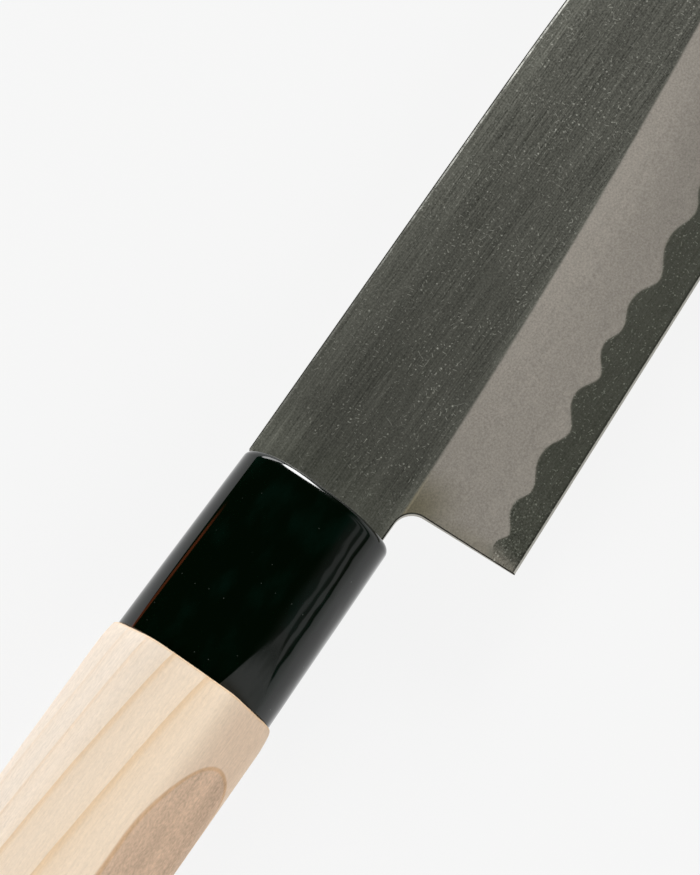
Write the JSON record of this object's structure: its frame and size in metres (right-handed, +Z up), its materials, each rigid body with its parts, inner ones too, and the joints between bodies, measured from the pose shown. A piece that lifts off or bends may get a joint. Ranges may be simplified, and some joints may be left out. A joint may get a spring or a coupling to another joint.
{
  "type": "santoku knife",
  "caption": "Santoku kitchen knife lying on its side: laminated double-bevel blade with a wavy weld line, black oval ferrule and octagonal pale wooden handle.",
  "frame": {"origin": "under the middle of the knife's box, on the plane of the handle's lower flat", "axes": "+X along the handle towards the blade's tip, +Y towards the spine, +Z up, square to the blade's right-hand face"},
  "size_m": [0.3026, 0.0454, 0.0214],
  "materials": {
    "core_steel": "dark polished hard steel, fine grind lines along the edge",
    "cladding_steel": "brushed upper flat and matte blasted bevel",
    "ferrule_black": "high gloss black",
    "handle_wood": "bare pale straight-grained wood, sanded smooth",
    "bedding": "set adhesive, matte"
  },
  "bodies": {
    "root": {"core_steel": "core_steel", "cladding_right": "cladding_steel", "cladding_left": "cladding_steel", "ferrule": "ferrule_black", "handle_wood": "handle_wood", "tang_bedding": "bedding"}
  },
  "joints": []
}
